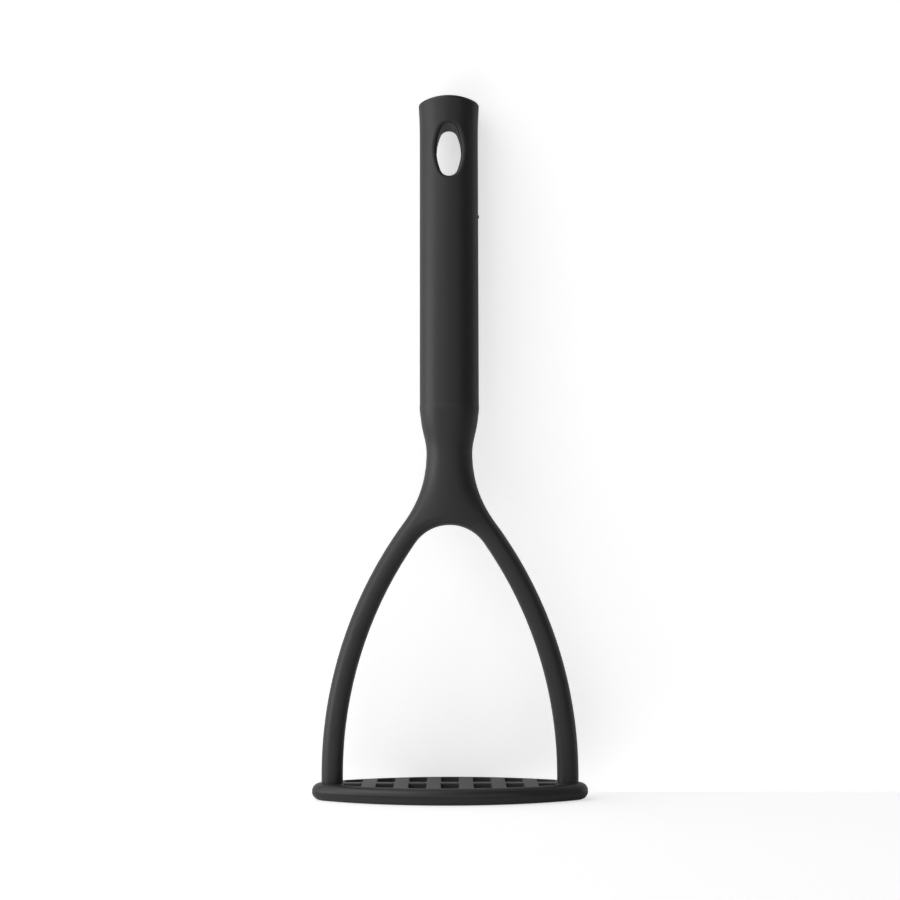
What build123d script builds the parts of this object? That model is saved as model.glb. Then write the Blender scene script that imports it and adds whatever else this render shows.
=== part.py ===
from build123d import *
import os
from math import atan2, degrees, sin, sqrt

# Potato masher in black moulded nylon, in millimetres.
# It is three mouldings: a slotted plate, a wishbone frame that carries the plate on its two legs,
# and a hollow grip that slides over the ribbed tang of the frame.
# +Z runs up the handle, X runs across the legs and Y is the depth.
# The origin is the middle of the underside of the plate, on which the masher stands.

# Whole masher
overall_height = 257.9
joint_clearance = 0.15          # play on each side between two mouldings that slide together
cut_overrun = 2.0               # how far a cutting tool runs past the face it leaves
pick_tolerance = 0.15           # how near a point has to be for its edge to be picked
across_limit = 0.54             # cosine of the slant past which an edge runs front to back

# Mashing plate
plate_width = 100.8
plate_depth = 45.2
plate_height = 6.0
plate_tip_radius = 8.8          # radius of the outline at its two ends
parting_band = 0.3              # upright band between the two half rounds of the rim
parting_groove = 0.15           # depth of the fine line that the mould halves leave in that band
slot_columns = 7
slot_end_wall = 11.8            # from the tips of the outline to the outermost slots
slot_width = 6.4
slot_corner = 0.8
slot_draft = 1.0                # in degrees, so that the slots leave both mould halves
slot_chamfer = 0.35
cross_bar = 5.4                 # bar along the middle, which divides the slots into two rows
rim_wall = 3.6                  # from the outline to the outer ends of the slots

# Wishbone frame
foot_inset = 3.45               # from the tips of the plate to the outer sides of the legs
leg_width = 7.8
leg_flat = 0.1                  # strip between the outer and the inner rounding of a leg
outer_share = 0.56              # of a leg's width, for the round of its outer side
leg_bulge = 0.5                 # by which the fan's front stands out past the rounds of its ends
leg_radius = 155.2              # of the outer side of each leg
crown_radius = 15.3             # under the arch
waist_width = 16.85
waist_depth = 14.6
waist_height = 126.1
waist_radius = 42.0             # of the hollow sides between the waist and the legs
waist_bulge = 1.1
frame_stations = 37             # sections through which the frame is lofted

# Pegs under the legs
peg_width = 4.6
peg_depth = 6.4
peg_corner = 1.5
peg_length = 4.0
peg_lead = 0.5                  # chamfer that starts the peg in its socket

# Grip
shoulder_rise = 18.4            # from the waist up to the grip
hollow_share = 0.34             # of that rise, the rest being the round of the shoulder
grip_width = 21.8               # where the grip meets the shoulder
grip_taper = 0.23               # by which it is narrower where its flare starts
grip_flare = 1.25               # by which it is wider again at its top end
flare_length = 14.5
grip_depth = 18.0
grip_bulge = 1.4
grip_stations = 14              # sections through which the grip is lofted
dome_radius = 32.0              # of the arched top end
dome_round = 1.1
grip_wall = 2.4
bore_stop = 10.4                # solid length between the bore's end and the hanging hole

# Hanging hole
hole_drop = 20.1                # from the top of the masher down to its middle
hole_width = 9.1
hole_length = 19.6
hole_bulge = 1.3                # by which its sides stand out past the rounds of its ends
hole_round = 1.15

# Gate mark on the side of the grip
gate_drop = 43.9                # from the top of the masher
gate_radius = 0.6
gate_proud = 0.3

# Tang inside the grip
collar_length = 8.0
tang_rib = 2.6
tang_gap = 3.0                  # left free at the bore's end
tang_disc = 2.0
tang_discs = 4
tang_lead = 1.0                 # chamfer that starts the tang in the bore


# Sizes that follow from those above
slot_pitch = (plate_width - 2 * slot_end_wall - slot_width) / (slot_columns - 1)
rim_round = (plate_height - parting_band) / 2
foot_half = plate_width / 2 - foot_inset
outer_round = outer_share * leg_width
inner_round = leg_width - outer_round - leg_flat
foot_depth = 2 * (outer_round + leg_bulge)
waist_round = waist_depth / 2 - waist_bulge
grip_round = grip_depth / 2 - grip_bulge
leg_centre_x = foot_half - leg_radius
leg_inner_radius = leg_radius - leg_width
waist_centre_x = waist_width / 2 + waist_radius
leg_rise = sqrt((leg_radius + waist_radius) ** 2 - (waist_centre_x - leg_centre_x) ** 2)
leg_bend_height = waist_height - leg_rise
crown_reach = leg_inner_radius - crown_radius
crown_centre_z = leg_bend_height + sqrt(crown_reach**2 - leg_centre_x**2)
crown_angle = atan2(crown_centre_z - leg_bend_height, -leg_centre_x)
flare_angle = atan2(leg_rise, waist_centre_x - leg_centre_x)
flare_height = leg_bend_height + leg_radius * sin(flare_angle)
grip_bottom = waist_height + shoulder_rise
shoulder_swell = (grip_width - waist_width) / 2
shoulder_angle = 2 * atan2(shoulder_swell, shoulder_rise)
hollow_radius = hollow_share * shoulder_rise / sin(shoulder_angle)
shoulder_radius = (1 - hollow_share) * shoulder_rise / sin(shoulder_angle)
shoulder_height = waist_height + hollow_share * shoulder_rise
grip_slim_width = grip_width - grip_taper
grip_top_width = grip_slim_width + grip_flare
grip_slim_height = overall_height - flare_length
hole_height = overall_height - hole_drop
hole_end_radius = hole_width / 2 - hole_bulge
gate_height = overall_height - gate_drop
bore_top = hole_height - hole_length / 2 - bore_stop
tang_top = bore_top - tang_gap
bore_width = grip_slim_width - 2 * grip_wall
bore_depth = grip_depth - 2 * grip_wall
bore_round = grip_round - grip_wall


# Oval with arcs at its ends and flatter arcs along its sides, long in X
def oval_face(width, depth, end_radius):
    half_w = width / 2
    half_d = depth / 2
    side_radius = ((half_w - end_radius) ** 2 + half_d**2 - end_radius**2) / (2 * (half_d - end_radius))
    end_x = half_w - end_radius
    side_y = side_radius - half_d
    meet = degrees(atan2(side_y, end_x))
    edges = [
        CenterArc((end_x, 0), end_radius, -meet, 2 * meet),
        CenterArc((0, -side_y), side_radius, meet, 180 - 2 * meet),
        CenterArc((-end_x, 0), end_radius, 180 - meet, 2 * meet),
        CenterArc((0, side_y), side_radius, 180 + meet, 180 - 2 * meet),
    ]
    return make_face(edges)


# Outline of the plate, drawn in by the same amount all round
def plate_outline(inset):
    return oval_face(plate_width - 2 * inset, plate_depth - 2 * inset, plate_tip_radius - inset)


# Openings of the grid at the middle of the plate's height, their outer ends following the rim
def slot_faces():
    field = plate_outline(rim_wall)
    row_length = plate_depth / 2
    faces = []
    for column in range(slot_columns):
        x = (column - (slot_columns - 1) / 2) * slot_pitch
        for side in (1, -1):
            place = Pos(x, side * (cross_bar / 2 + row_length / 2))
            slot = (place * Rectangle(slot_width, row_length)) & field
            faces.append(fillet(slot.vertices(), slot_corner).face())
    return faces


# One opening of the grid, wider at both faces of the plate than in its middle
def slot_tool(face):
    half = plate_height / 2
    middle = Pos(0, 0, half) * face
    tool = extrude(middle, half + cut_overrun, taper=-slot_draft)
    tool += extrude(middle, half + cut_overrun, dir=(0, 0, -1), taper=-slot_draft)
    return tool


# Peg under a leg, or the tool for its socket in the plate when it is grown by the play
def foot_peg(side, play, rise):
    section = RectangleRounded(peg_width + 2 * play, peg_depth + 2 * play, peg_corner + play)
    peg = extrude(section, peg_length + play + rise)
    peg = chamfer(peg.faces().sort_by(Axis.Z)[0].edges(), peg_lead)
    leg_middle = frame_half_width(plate_height) - leg_width / 2
    return Pos(side * leg_middle, 0, plate_height - peg_length - play) * peg


def make_plate():
    plate = extrude(plate_outline(0), plate_height)
    rims = plate.edges().group_by(Axis.Z)
    plate = fillet(rims[0] + rims[-1], rim_round)
    line = plate_outline(-cut_overrun) - plate_outline(parting_groove)
    plate -= Pos(0, 0, (plate_height - parting_band) / 2) * extrude(line, parting_band)
    for face in slot_faces():
        plate -= slot_tool(face)
    mouths = [e for e in plate.edges() if on_plate_face(e) and inside_rim(e)]
    plate = chamfer(mouths, slot_chamfer)
    for side in (1, -1):
        plate -= foot_peg(side, joint_clearance, cut_overrun)
    return plate


# Edge that lies in the top or the bottom face of the plate
def on_plate_face(edge):
    box = edge.bounding_box()
    flat = box.size.Z < pick_tolerance
    middle = plate_height / 2
    return flat and abs(abs(box.center().Z - middle) - middle) < pick_tolerance / 2


# Edge of a slot, not of the rim's rounding
def inside_rim(edge):
    middle = edge.center()
    return plate_outline((rim_wall + rim_round) / 2).is_inside(Vector(middle.X, middle.Y))


# Half width of the neck and of the two legs together, at a height
def frame_half_width(z):
    if z >= shoulder_height:
        below = grip_bottom - z
        return grip_width / 2 - shoulder_radius + sqrt(shoulder_radius**2 - below**2)
    if z >= waist_height:
        return waist_width / 2 + hollow_radius - sqrt(hollow_radius**2 - (z - waist_height) ** 2)
    if z >= flare_height:
        return waist_centre_x - sqrt(waist_radius**2 - (z - waist_height) ** 2)
    if z >= leg_bend_height:
        return leg_centre_x + sqrt(leg_radius**2 - (z - leg_bend_height) ** 2)
    return foot_half


# Half depth and end radius of the same section
def frame_half_depth(z):
    if z > waist_height:
        share = (frame_half_width(z) - waist_width / 2) / shoulder_swell
        return (waist_depth + share * (grip_depth - waist_depth)) / 2
    share = (z / waist_height) ** 2
    return (foot_depth + share * (waist_depth - foot_depth)) / 2


def frame_end_radius(z):
    if z > waist_height:
        share = (frame_half_width(z) - waist_width / 2) / shoulder_swell
        return waist_round + share * (grip_round - waist_round)
    share = (z / waist_height) ** 8
    return outer_round + share * (waist_round - outer_round)


# Neck and both legs as one fan, before the opening between the legs is cut out of it
def frame_fan():
    sections = []
    for station in range(frame_stations):
        z = plate_height + (grip_bottom - plate_height) * station / (frame_stations - 1)
        section = oval_face(2 * frame_half_width(z), 2 * frame_half_depth(z), frame_end_radius(z))
        sections.append(Pos(0, 0, z) * section)
    return loft(sections)


# Opening between the legs: two long arcs joined by the small arc of the crown
def arch_face():
    foot_inner = foot_half - leg_width
    crown = degrees(crown_angle)
    low = min(leg_bend_height, 0) - cut_overrun
    edges = [
        Line((-foot_inner, low), (foot_inner, low)),
        Line((foot_inner, low), (foot_inner, leg_bend_height)),
        CenterArc((leg_centre_x, leg_bend_height), leg_inner_radius, 0, crown),
        CenterArc((0, crown_centre_z), crown_radius, crown, 180 - 2 * crown),
        CenterArc((-leg_centre_x, leg_bend_height), leg_inner_radius, 180 - crown, crown),
        Line((-foot_inner, leg_bend_height), (-foot_inner, low)),
    ]
    return Plane.XZ * make_face(edges)


# True where an edge runs along the opening between the legs, front or back
def on_arch(edge):
    point = edge.position_at(0.5)
    x = abs(point.X)
    if abs(edge.tangent_at(0.5).Y) > across_limit:
        return False
    if point.Z < plate_height + pick_tolerance:
        return False
    near = pick_tolerance
    if point.Z < leg_bend_height:
        return abs(x - foot_half + leg_width) < near
    leg = sqrt((x - leg_centre_x) ** 2 + (point.Z - leg_bend_height) ** 2)
    top = sqrt(x**2 + (point.Z - crown_centre_z) ** 2)
    return abs(leg - leg_inner_radius) < near or abs(top - crown_radius) < near


# Ribbed tang that fills the bore of the grip: a collar, a cross of ribs and stiffening discs
def make_tang():
    width = bore_width - 2 * joint_clearance
    depth = bore_depth - 2 * joint_clearance
    section = oval_face(width, depth, bore_round - joint_clearance)
    length = tang_top - grip_bottom
    envelope = extrude(section, length)
    envelope = chamfer(envelope.faces().sort_by(Axis.Z)[-1].edges(), tang_lead)
    cross = Box(width, tang_rib, length, align=(Align.CENTER, Align.CENTER, Align.MIN))
    cross += Box(tang_rib, depth, length, align=(Align.CENTER, Align.CENTER, Align.MIN))
    solid = cross + extrude(section, collar_length)
    spacing = (length - collar_length) / (tang_discs + 1)
    for disc in range(1, tang_discs + 1):
        solid += Pos(0, 0, collar_length + disc * spacing) * extrude(section, tang_disc)
    return Pos(0, 0, grip_bottom) * (solid & envelope)


def make_frame():
    opening = extrude(arch_face(), foot_depth + waist_depth, both=True)
    frame = frame_fan() - opening
    frame = fillet([e for e in frame.edges() if on_arch(e)], inner_round)
    frame += make_tang()
    for side in (1, -1):
        frame += foot_peg(side, 0, 0)
    return frame


# Width of the grip at a height: it narrows a little on the way up and flares at its top end
def grip_width_at(z):
    if z < grip_slim_height:
        share = (z - grip_bottom) / (grip_slim_height - grip_bottom)
        return grip_width + share * (grip_slim_width - grip_width)
    share = (z - grip_slim_height) / (overall_height - grip_slim_height)
    return grip_slim_width + share**2 * (grip_top_width - grip_slim_width)


# Outer form of the grip, run on past the arched top end that is cut from it
def grip_blank():
    rise = (overall_height + cut_overrun - grip_bottom) / (grip_stations - 1)
    sections = []
    for station in range(grip_stations):
        z = grip_bottom + station * rise
        sections.append(Pos(0, 0, z) * oval_face(grip_width_at(z), grip_depth, grip_round))
    return loft(sections)


# Cylinder across the grip whose upper side is the arched top end
def dome_tool():
    length = dome_radius + overall_height - grip_bottom
    centre = overall_height - dome_radius
    disc = Pos(0, centre) * Circle(dome_radius)
    disc += Pos(0, centre - length / 2) * Rectangle(2 * dome_radius, length)
    return extrude(Plane.XZ * disc, grip_depth, both=True)


def make_grip():
    grip = grip_blank() & dome_tool()
    grip = fillet(grip.faces().sort_by(Axis.Z)[-1].edges(), dome_round)
    oval = Rot(0, 0, 90) * oval_face(hole_length, hole_width, hole_end_radius)
    hole = Plane.XZ * (Pos(0, hole_height) * oval)
    grip -= extrude(hole, grip_depth, both=True)
    rims = [e for e in grip.edges() if on_hole(e)]
    grip = fillet(rims, hole_round)
    bore = oval_face(bore_width, bore_depth, bore_round)
    grip -= Pos(0, 0, grip_bottom) * extrude(bore, bore_top - grip_bottom)
    from_side = (Align.CENTER, Align.CENTER, Align.MIN)
    gate = Cylinder(gate_radius, grip_wall / 2 + gate_proud, align=from_side)
    half_width = grip_width_at(gate_height) / 2
    return grip + Pos(half_width - grip_wall / 2, 0, gate_height) * Rot(0, 90, 0) * gate


# True for the edges where the hanging hole meets the front or the back of the grip
def on_hole(edge):
    point = edge.position_at(0.5)
    outside = abs(point.Y) > grip_depth / 4
    across = abs(point.X) < hole_width / 2 + pick_tolerance
    along = abs(point.Z - hole_height) < hole_length / 2 + pick_tolerance
    return outside and across and along and abs(edge.tangent_at(0.5).Y) < across_limit


parts = {
    "mashing_plate": make_plate(),
    "masher_frame": make_frame(),
    "handle_grip": make_grip(),
}

os.makedirs("parts", exist_ok=True)
for name, part in parts.items():
    export_step(part, f"parts/{name}.step")
    print(name, round(part.volume, 1), "mm3")
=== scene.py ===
# %% [markdown]
# # A potato masher in black nylon
#
# The masher has three mouldings: a slotted plate, a wishbone frame and a hollow grip.
# They arrive here at their real size, in metres, standing on the plate with the handle up.
# This lesson gives them their finish, the stage on which they stand, the light and the camera.

# %% Load the three mouldings
import math

import bmesh
import bpy
from mathutils import Matrix, Vector


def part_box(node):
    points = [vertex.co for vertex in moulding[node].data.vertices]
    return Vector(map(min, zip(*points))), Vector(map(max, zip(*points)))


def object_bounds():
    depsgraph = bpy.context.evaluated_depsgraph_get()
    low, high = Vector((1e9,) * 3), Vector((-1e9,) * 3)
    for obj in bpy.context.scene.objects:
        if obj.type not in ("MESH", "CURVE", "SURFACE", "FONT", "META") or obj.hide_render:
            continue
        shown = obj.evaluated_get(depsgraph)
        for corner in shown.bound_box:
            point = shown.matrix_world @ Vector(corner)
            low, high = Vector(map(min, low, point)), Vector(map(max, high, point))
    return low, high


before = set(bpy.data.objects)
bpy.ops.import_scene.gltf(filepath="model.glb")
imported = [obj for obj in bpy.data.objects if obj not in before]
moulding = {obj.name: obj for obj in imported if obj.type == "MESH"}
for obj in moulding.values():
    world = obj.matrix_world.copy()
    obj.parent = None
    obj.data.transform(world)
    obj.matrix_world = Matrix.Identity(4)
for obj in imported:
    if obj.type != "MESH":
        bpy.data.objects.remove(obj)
cad_low, cad_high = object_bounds()
masher_height = cad_high.z - cad_low.z
plate_low, plate_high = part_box("mashing_plate")
grip_low, grip_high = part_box("handle_grip")
plate_thickness = plate_high.z - plate_low.z
grip_length = grip_high.z - grip_low.z
mm = 0.001
print("mouldings", sorted(moulding), "height", round(masher_height / mm, 1), "mm")
print("plate", round(plate_thickness / mm, 1), "mm, grip", round(grip_length / mm, 1), "mm")

# %% [markdown]
# ## The camera
#
# The masher was photographed lying on a white table, from straight above, so here the camera looks
# at its front. The plate's edge and the end of the grip both touch the table, and as the plate is
# the deeper of the two the handle leans away from the camera by about three degrees.
# A camera that looks up by the same angle shows the standing masher in the same way.
# The distance comes from how much of the plate's upper side shows.

# %% Place the camera
frame_pixels = 900
pixels_per_distance = 2064
camera_distance = 0.76
lean = math.radians(2.92)
roll = math.radians(-0.11)
aim = Vector((0.00022, 0.0, 0.1276))

camera_data = bpy.data.cameras.new("camera")
camera_data.sensor_width = 36
camera_data.lens = camera_data.sensor_width * pixels_per_distance / frame_pixels
camera = bpy.data.objects.new("camera", camera_data)
bpy.context.collection.objects.link(camera)
view_line = Vector((0, math.cos(lean), math.sin(lean)))
camera.location = aim - camera_distance * view_line
look = Matrix.Rotation(math.radians(90) + lean, 4, "X") @ Matrix.Rotation(roll, 4, "Z")
camera.rotation_euler = look.to_euler()
bpy.context.scene.camera = camera
bpy.context.scene.view_settings.view_transform = "Standard"
print("lens", round(camera_data.lens, 1), "mm at", [round(v, 3) for v in camera.location])

# %% [markdown]
# ## Shader sums written as Python
#
# A finish is easier to read as a sum than as a web of nodes.
# This small class wraps the output of a node, so that adding or multiplying it adds a Math node.

# %% A class for node sums
class Signal:
    def __init__(self, tree, output):
        self.tree = tree
        self.output = output

    def sum_with(self, operation, first, second):
        node = self.tree.nodes.new("ShaderNodeMath")
        node.operation = operation
        for slot, value in zip(node.inputs, (first, second)):
            plug(self.tree, slot, value)
        return Signal(self.tree, node.outputs[0])

    def __add__(self, other):
        return self.sum_with("ADD", self, other)

    def __sub__(self, other):
        return self.sum_with("SUBTRACT", self, other)

    def __rsub__(self, other):
        return self.sum_with("SUBTRACT", other, self)

    def __mul__(self, other):
        return self.sum_with("MULTIPLY", self, other)

    def __abs__(self):
        return self.sum_with("ABSOLUTE", self, 0.0)

    __radd__ = __add__
    __rmul__ = __mul__


def plug(tree, slot, value):
    if isinstance(value, Signal):
        tree.links.new(value.output, slot)
    else:
        slot.default_value = value


# %% A finish with its own node tree
class Finish:
    def __init__(self, name):
        self.material = bpy.data.materials.new(name)
        self.material.use_nodes = True
        self.tree = self.material.node_tree
        self.tree.nodes.clear()

    def add(self, kind, settings=None, sockets=None, output=0):
        node = self.tree.nodes.new(kind)
        for key, value in (settings or {}).items():
            setattr(node, key, value)
        for key, value in (sockets or {}).items():
            plug(self.tree, node.inputs[key], value)
        return Signal(self.tree, node.outputs[output]) if node.outputs else None


# %% [markdown]
# ## Black nylon with a spark-eroded grain
#
# The moulds were spark-eroded, so the plastic has a fine matt grain that breaks the light up.
# Two noises make it: a fine one for the grain itself, which goes to the bump, and a broad one
# that varies colour and roughness a little, as the melt does where it cools unevenly.
# The moulds of grip and frame opened from front to back and left a hair-fine ridge where they met,
# in the plane through the middle. It is too small to model, so the bump carries it.
# The lower edge of the plate has rubbed on pans and is a little smoother there, in uneven patches.

# %% Make the nylon finishes
grain_scale = 3200
grain_roughness = 0.05
melt_scale = 70
melt_roughness = 0.08
melt_tone = 0.15
bump_depth = 0.05 * mm
ridge_half = 0.09 * mm
rubbed_fully = 2.4 * mm
rubbed_nowhere = 4 * mm
rubbed_unevenness = 2 * mm
nylon_ior = 1.5
noise_middle = 0.5
mix_first, mix_second, mixed_colour = 6, 7, 2


def nylon(name, shade, roughness, grain, parting=0.0, wear=0.0):
    finish = Finish(name)
    place = finish.add("ShaderNodeTexCoord", output="Object")
    fine = finish.add(
        "ShaderNodeTexNoise", sockets={"Vector": place, "Scale": grain_scale, "Detail": 3}
    )
    broad = finish.add(
        "ShaderNodeTexNoise", sockets={"Vector": place, "Scale": melt_scale, "Detail": 4}
    )
    darker = [channel * (1 - melt_tone) for channel in shade]
    lighter = [channel * (1 + melt_tone) for channel in shade]
    tone = finish.add(
        "ShaderNodeMix",
        {"data_type": "RGBA"},
        {"Factor": broad, mix_first: (*darker, 1), mix_second: (*lighter, 1)},
        output=mixed_colour,
    )
    depth = finish.add("ShaderNodeSeparateXYZ", sockets={"Vector": place}, output="Y")
    ridge = finish.add(
        "ShaderNodeMapRange",
        {"interpolation_type": "SMOOTHSTEP"},
        {
            "Value": abs(depth),
            "From Min": 0.0,
            "From Max": ridge_half,
            "To Min": 1.0,
            "To Max": 0.0,
        },
    )
    bump = finish.add(
        "ShaderNodeBump",
        sockets={
            "Height": fine * grain + ridge * parting,
            "Strength": 1.0,
            "Distance": bump_depth,
        },
    )
    height = finish.add("ShaderNodeSeparateXYZ", sockets={"Vector": place}, output="Z")
    rubbed = finish.add(
        "ShaderNodeMapRange",
        {"interpolation_type": "SMOOTHSTEP"},
        {
            "Value": height + rubbed_unevenness * broad,
            "From Min": rubbed_fully,
            "From Max": rubbed_nowhere,
            "To Min": wear,
            "To Max": 0.0,
        },
    )
    rough = roughness - rubbed
    rough = rough + melt_roughness * (broad - noise_middle)
    rough = rough + grain_roughness * (fine - noise_middle)
    surface = finish.add(
        "ShaderNodeBsdfPrincipled",
        sockets={"Base Color": tone, "Roughness": rough, "Normal": bump, "IOR": nylon_ior},
    )
    finish.add("ShaderNodeOutputMaterial", sockets={"Surface": surface})
    return finish.material


soft_black = (0.0145, 0.0145, 0.015)
deep_black = (0.012, 0.012, 0.0125)
finishes = {
    "mashing_plate": nylon("plate_nylon", soft_black, roughness=0.4, grain=0.25, wear=0.08),
    "masher_frame": nylon("frame_nylon", soft_black, roughness=0.4, grain=0.3, parting=0.5),
    "handle_grip": nylon("grip_nylon", deep_black, roughness=0.4, grain=0.35, parting=0.5),
}
for name, material in finishes.items():
    mesh = moulding[name].data
    mesh.materials.clear()
    mesh.materials.append(material)
print("finishes", sorted(finishes))

# %% [markdown]
# ## The stage
#
# A pale floor carries the masher, and a white backdrop stands just behind it, as the table did in
# the photograph. The backdrop takes the soft shadow of the handle. Its rear side is clear, so that
# it hides nothing from a camera that stands behind, and it casts no shadow, so that light from
# behind still reaches the masher. The floor casts none either, because part of the light comes
# from below it.
# Both look nearly white through a glow for the camera, and the rest of their brightness is lamp
# light, in which the shadows show. Reflections see a trace of the backdrop's glow and none of the
# floor's. The glow isn't sampled as a lamp, so that it doesn't disturb the lamps' own light.

# %% Make the floor and the backdrop
floor_size = 1.8
floor_gap = 0.05 * mm
backdrop_size = 2.0
backdrop_gap = 0.3 * mm
touch_height = 3.3 * mm


def stage_material(name, shade, camera_glow, gloss_glow, one_sided):
    finish = Finish(name)
    paper = finish.add("ShaderNodeBsdfDiffuse", sockets={"Color": (shade, shade, shade, 1)})
    to_camera = finish.add("ShaderNodeLightPath", output="Is Camera Ray")
    to_gloss = finish.add("ShaderNodeLightPath", output="Is Glossy Ray")
    glow = camera_glow * to_camera + gloss_glow * to_gloss
    bright = finish.add("ShaderNodeEmission", sockets={"Strength": glow})
    white = finish.add("ShaderNodeAddShader", sockets={0: paper, 1: bright})
    if one_sided:
        clear = finish.add("ShaderNodeBsdfTransparent")
        behind = finish.add("ShaderNodeNewGeometry", output="Backfacing")
        white = finish.add("ShaderNodeMixShader", sockets={0: behind, 1: white, 2: clear})
    finish.add("ShaderNodeOutputMaterial", sockets={"Surface": white})
    finish.material.cycles.emission_sampling = "NONE"
    return finish.material


def stage_sheet(name, size, placing, material):
    sheet = bmesh.new()
    bmesh.ops.create_grid(sheet, x_segments=1, y_segments=1, size=size / 2, matrix=placing)
    mesh = bpy.data.meshes.new(name)
    sheet.to_mesh(mesh)
    sheet.free()
    mesh.materials.append(material)
    item = bpy.data.objects.new(name, mesh)
    bpy.context.collection.objects.link(item)
    return item


floor = stage_sheet(
    "floor",
    floor_size,
    Matrix.Translation((0, 0, cad_low.z - floor_gap)),
    stage_material("pale_floor", 0.5, camera_glow=0.63, gloss_glow=0.0, one_sided=False),
)
floor.visible_shadow = False
table_point = Vector((0, plate_high.y + backdrop_gap, touch_height))
table_turn = Matrix.Rotation(math.radians(90) + lean, 4, "X")
backdrop = stage_sheet(
    "backdrop",
    backdrop_size,
    Matrix.Translation(table_point) @ table_turn,
    stage_material("white_backdrop", 0.68, camera_glow=0.565, gloss_glow=0.05, one_sided=True),
)
backdrop.visible_diffuse = False
backdrop.visible_transmission = False
backdrop.visible_shadow = False
print("stage", floor.name, floor_size, "m,", backdrop.name, backdrop_size, "m")

# %% [markdown]
# ## The light
#
# The lying masher was lit by one very large soft window on its left. Five large lamps stand for the
# window, above and below the middle of the masher, because the window reached beyond both of its
# ends. A weak lamp in front and one on the right fill the shaded side, and two behind light the
# edges and the back. The lamps themselves stay out of the camera's sight.
# Each row of the table gives the lamp's turn to the right and its rise in degrees, its width and
# height in metres, its power in watts and its distance in metres.

# %% Light the masher
lamps = {
    "window_low": (-50, -55, 1.4, 1.4, 14.0, 1.2),
    "window_near": (-45, 30, 1.2, 1.2, 4.7, 1.2),
    "window_far_low": (-95, -22, 1.6, 1.4, 17.0, 1.2),
    "window_far_high": (-90, 30, 1.6, 1.6, 7.5, 1.2),
    "window_top": (-70, 65, 1.2, 1.2, 6.0, 1.3),
    "front_fill": (9, 4, 1.6, 1.6, 4.5, 1.3),
    "right_fill": (85, 20, 1.6, 1.6, 1.0, 1.3),
    "back_fill": (-132, 5, 1.2, 2.0, 6.5, 1.2),
    "rear_light": (180, 22, 1.6, 1.2, 5.0, 1.3),
}
middle = (cad_low + cad_high) / 2


def soft_lamp(name, turn, rise, width, height, power, distance):
    data = bpy.data.lights.new(name, "AREA")
    data.shape = "RECTANGLE"
    data.size = width
    data.size_y = height
    data.energy = power
    lamp = bpy.data.objects.new(name, data)
    bpy.context.collection.objects.link(lamp)
    turn = math.radians(turn)
    rise = math.radians(rise)
    level = math.cos(rise)
    line = Vector((level * math.sin(turn), -level * math.cos(turn), math.sin(rise)))
    lamp.location = middle + distance * line
    lamp.rotation_euler = (-line).to_track_quat("-Z", "Y").to_euler()
    lamp.visible_camera = False


for name, row in lamps.items():
    soft_lamp(name, *row)
print("lamps", list(lamps))

# %% [markdown]
# ## The room
#
# Where the camera looks past the stage it sees plain white. The room itself lights nothing.

# %% Make the white room
world = bpy.data.worlds.new("white_room")
bpy.context.scene.world = world
world.use_nodes = True
room = world.node_tree
room.nodes.clear()
paths = room.nodes.new("ShaderNodeLightPath")
background = room.nodes.new("ShaderNodeBackground")
background.inputs["Color"].default_value = (1, 1, 1, 1)
room.links.new(paths.outputs["Is Camera Ray"], background.inputs["Strength"])
exit_node = room.nodes.new("ShaderNodeOutputWorld")
room.links.new(background.outputs[0], exit_node.inputs["Surface"])
print("room", world.name)
